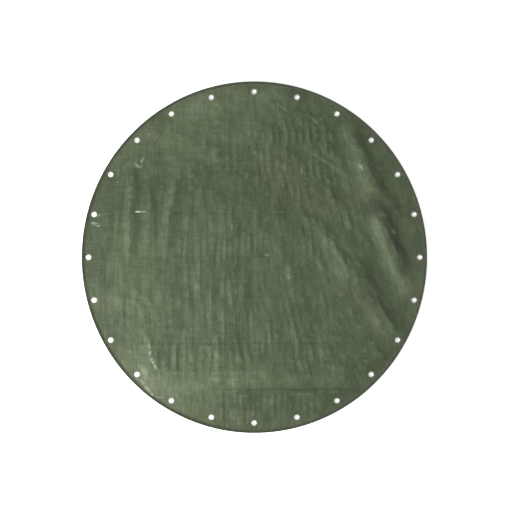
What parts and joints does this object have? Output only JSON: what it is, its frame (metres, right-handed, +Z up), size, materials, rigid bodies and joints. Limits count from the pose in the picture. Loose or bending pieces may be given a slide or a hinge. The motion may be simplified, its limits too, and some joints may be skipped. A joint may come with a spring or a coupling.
{
  "type": "spa cover",
  "caption": "Round woven sheet cover with a roped hem and a ring of metal eyelets near its rim, for tying down over a round spa.",
  "frame": {"origin": "centre of the underside, on the surface that the cover is laid on", "axes": "+Z up through the sheet; +Y towards the first eyelet; +X to the right of it, seen from above"},
  "size_m": [1.9824, 2.0176, 0.0064],
  "materials": {
    "coated_sheet": "satin coated woven polyethylene, sage green, softly creased",
    "rope_fibre": "laid polypropylene rope, matt white",
    "eyelet_metal": "pressed, bright",
    "washer_metal": "pressed, bright"
  },
  "bodies": {
    "root": {"cover_sheet": "coated_sheet", "edge_rope": "rope_fibre", "eyelet_01": "eyelet_metal", "eyelet_02": "eyelet_metal", "eyelet_03": "eyelet_metal", "eyelet_04": "eyelet_metal", "eyelet_05": "eyelet_metal", "eyelet_06": "eyelet_metal", "eyelet_07": "eyelet_metal", "eyelet_08": "eyelet_metal", "eyelet_09": "eyelet_metal", "eyelet_10": "eyelet_metal", "eyelet_11": "eyelet_metal", "eyelet_12": "eyelet_metal", "eyelet_13": "eyelet_metal", "eyelet_14": "eyelet_metal", "eyelet_15": "eyelet_metal", "eyelet_16": "eyelet_metal", "eyelet_17": "eyelet_metal", "eyelet_18": "eyelet_metal", "eyelet_19": "eyelet_metal", "eyelet_20": "eyelet_metal", "eyelet_21": "eyelet_metal", "eyelet_22": "eyelet_metal", "eyelet_23": "eyelet_metal", "eyelet_24": "eyelet_metal", "washer_01": "washer_metal", "washer_02": "washer_metal", "washer_03": "washer_metal", "washer_04": "washer_metal", "washer_05": "washer_metal", "washer_06": "washer_metal", "washer_07": "washer_metal", "washer_08": "washer_metal", "washer_09": "washer_metal", "washer_10": "washer_metal", "washer_11": "washer_metal", "washer_12": "washer_metal", "washer_13": "washer_metal", "washer_14": "washer_metal", "washer_15": "washer_metal", "washer_16": "washer_metal", "washer_17": "washer_metal", "washer_18": "washer_metal", "washer_19": "washer_metal", "washer_20": "washer_metal", "washer_21": "washer_metal", "washer_22": "washer_metal", "washer_23": "washer_metal", "washer_24": "washer_metal"}
  },
  "joints": []
}
